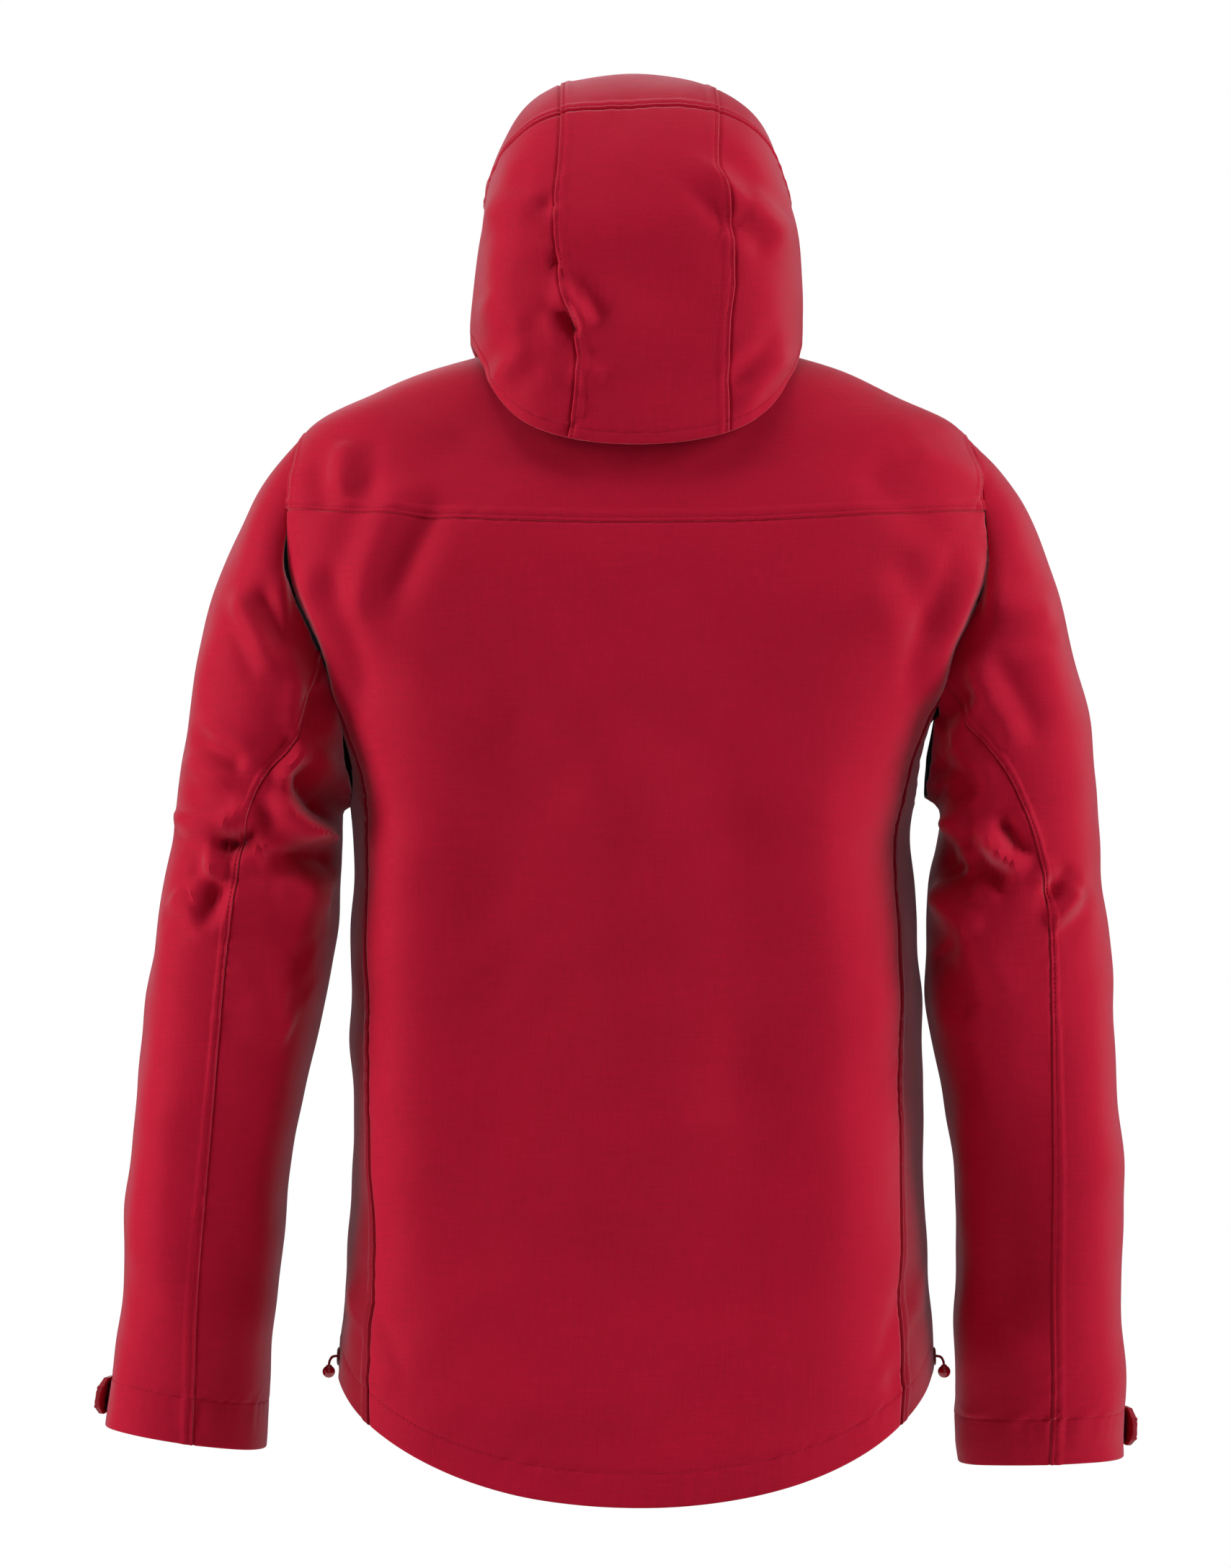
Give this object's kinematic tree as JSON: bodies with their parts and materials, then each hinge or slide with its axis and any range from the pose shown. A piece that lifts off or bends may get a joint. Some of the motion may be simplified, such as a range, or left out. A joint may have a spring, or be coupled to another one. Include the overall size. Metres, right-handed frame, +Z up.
{
  "type": "hardshell jacket",
  "caption": "Hooded waterproof shell jacket with a full front zip, hand pockets, cuff tabs, drop tail hem and a zip-off hood.",
  "frame": {"origin": "centre of the back neck seam, where the jacket hangs on the wearer", "axes": "+Z up, -Y to the front of the jacket, +X to the wearer's left"},
  "size_m": [0.729, 0.2646, 0.9864],
  "materials": {
    "shell": "matte plain weave, slight sheen",
    "shell_dark": "matte plain weave",
    "facing": "matte",
    "lining": "brushed",
    "seam_tape": "smooth film",
    "bag_mesh": "open mesh",
    "tab_rubber": "satin moulded",
    "hook_loop": "hook and loop pile",
    "zip_tape": "laminated tape",
    "zip_coil": "moulded coil",
    "zip_metal": "satin black",
    "puller": "satin",
    "stiffener": "matte",
    "elastic": "braided",
    "cord": "gloss",
    "hard_plastic": "satin",
    "ribbon": "woven ribbon",
    "label": "satin"
  },
  "bodies": {
    "jacket": {"back_panel": "shell", "back_yoke": "shell", "left_side_panel": "shell_dark", "right_side_panel": "shell_dark", "left_front": "shell", "right_front": "shell", "collar_outer": "shell", "collar_lining": "lining", "storm_flap": "facing", "hem_facing": "facing", "body_seam_tape": "seam_tape", "left_upper_sleeve": "shell", "left_under_sleeve": "shell", "right_upper_sleeve": "shell", "right_under_sleeve": "shell", "left_cuff_facing": "facing", "right_cuff_facing": "facing", "left_cuff_loop": "hook_loop", "right_cuff_loop": "hook_loop", "collar_zip": "zip_tape", "main_tapes": "zip_tape", "main_coils": "zip_coil", "main_stops": "zip_metal", "left_pocket_tapes": "zip_tape", "left_pocket_coils": "zip_coil", "left_pocket_bag": "bag_mesh", "right_pocket_tapes": "zip_tape", "right_pocket_coils": "zip_coil", "right_pocket_bag": "bag_mesh", "hem_elastic": "elastic", "left_eyelet": "hard_plastic", "right_eyelet": "hard_plastic", "left_cord_loop": "cord", "right_cord_loop": "cord", "left_cord_lock": "hard_plastic", "right_cord_lock": "hard_plastic", "hanger_loop": "ribbon", "blank_label": "label"},
    "hood": {"hood_centre": "shell", "hood_left": "shell", "hood_right": "shell", "hood_crown": "shell", "hood_facing": "facing", "hood_neck_band": "facing", "brim_stiffener": "stiffener", "hood_seam_tape": "seam_tape", "hood_zip": "zip_tape"},
    "main_slider": {"main_slider": "zip_metal"},
    "main_puller": {"main_puller": "puller"},
    "left_pocket_slider": {"left_pocket_slider": "zip_metal"},
    "left_pocket_puller": {"left_pocket_puller": "puller"},
    "left_cuff_tab": {"left_cuff_tab": "tab_rubber", "left_tab_hook": "hook_loop"},
    "left_lock_button": {"left_lock_button": "hard_plastic"},
    "right_pocket_slider": {"right_pocket_slider": "zip_metal"},
    "right_pocket_puller": {"right_pocket_puller": "puller"},
    "right_cuff_tab": {"right_cuff_tab": "tab_rubber", "right_tab_hook": "hook_loop"},
    "right_lock_button": {"right_lock_button": "hard_plastic"}
  },
  "joints": [
    {"name": "hood_zip_off", "type": "slide", "parent": "jacket", "child": "hood", "axis": [0, 0, 1], "range_m": [0, 0.16]},
    {"name": "main_zip", "type": "slide", "parent": "jacket", "child": "main_slider", "axis": [0, -0.0693, -0.9976], "range_m": [0, 0.687]},
    {"name": "main_pull", "type": "hinge", "parent": "main_slider", "child": "main_puller", "pos_m": [0, -0.1675, 0.01855], "axis": [-1, 0, 0], "range_deg": [0, 150]},
    {"name": "left_pocket_zip", "type": "slide", "parent": "jacket", "child": "left_pocket_slider", "axis": [-0.0187, -0.08, -0.9966], "range_m": [0, 0.158]},
    {"name": "left_pocket_pull", "type": "hinge", "parent": "left_pocket_slider", "child": "left_pocket_puller", "pos_m": [0.12074, -0.18174, -0.38208], "axis": [-0.9674, -0.2505, 0.0383], "range_deg": [0, 150]},
    {"name": "left_tab_peel", "type": "hinge", "parent": "jacket", "child": "left_cuff_tab", "pos_m": [0.35695, -0.13842, -0.7091], "axis": [0.0948, -0.0433, -0.9946], "range_deg": [0, 100]},
    {"name": "left_lock_press", "type": "slide", "parent": "jacket", "child": "left_lock_button", "axis": [0, 0, 1], "range_m": [0, 0.0025], "stiffness_N_per_m": 900, "springref_m": -0.001},
    {"name": "right_pocket_zip", "type": "slide", "parent": "jacket", "child": "right_pocket_slider", "axis": [0.0187, -0.08, -0.9966], "range_m": [0, 0.158]},
    {"name": "right_pocket_pull", "type": "hinge", "parent": "right_pocket_slider", "child": "right_pocket_puller", "pos_m": [-0.12074, -0.18174, -0.38208], "axis": [-0.9674, 0.2505, -0.0383], "range_deg": [0, 150]},
    {"name": "right_tab_peel", "type": "hinge", "parent": "jacket", "child": "right_cuff_tab", "pos_m": [-0.32427, -0.13842, -0.72916], "axis": [0.0072, 0.0423, 0.9991], "range_deg": [0, 100]},
    {"name": "right_lock_press", "type": "slide", "parent": "jacket", "child": "right_lock_button", "axis": [0, 0, 1], "range_m": [0, 0.0025], "stiffness_N_per_m": 900, "springref_m": -0.001}
  ]
}
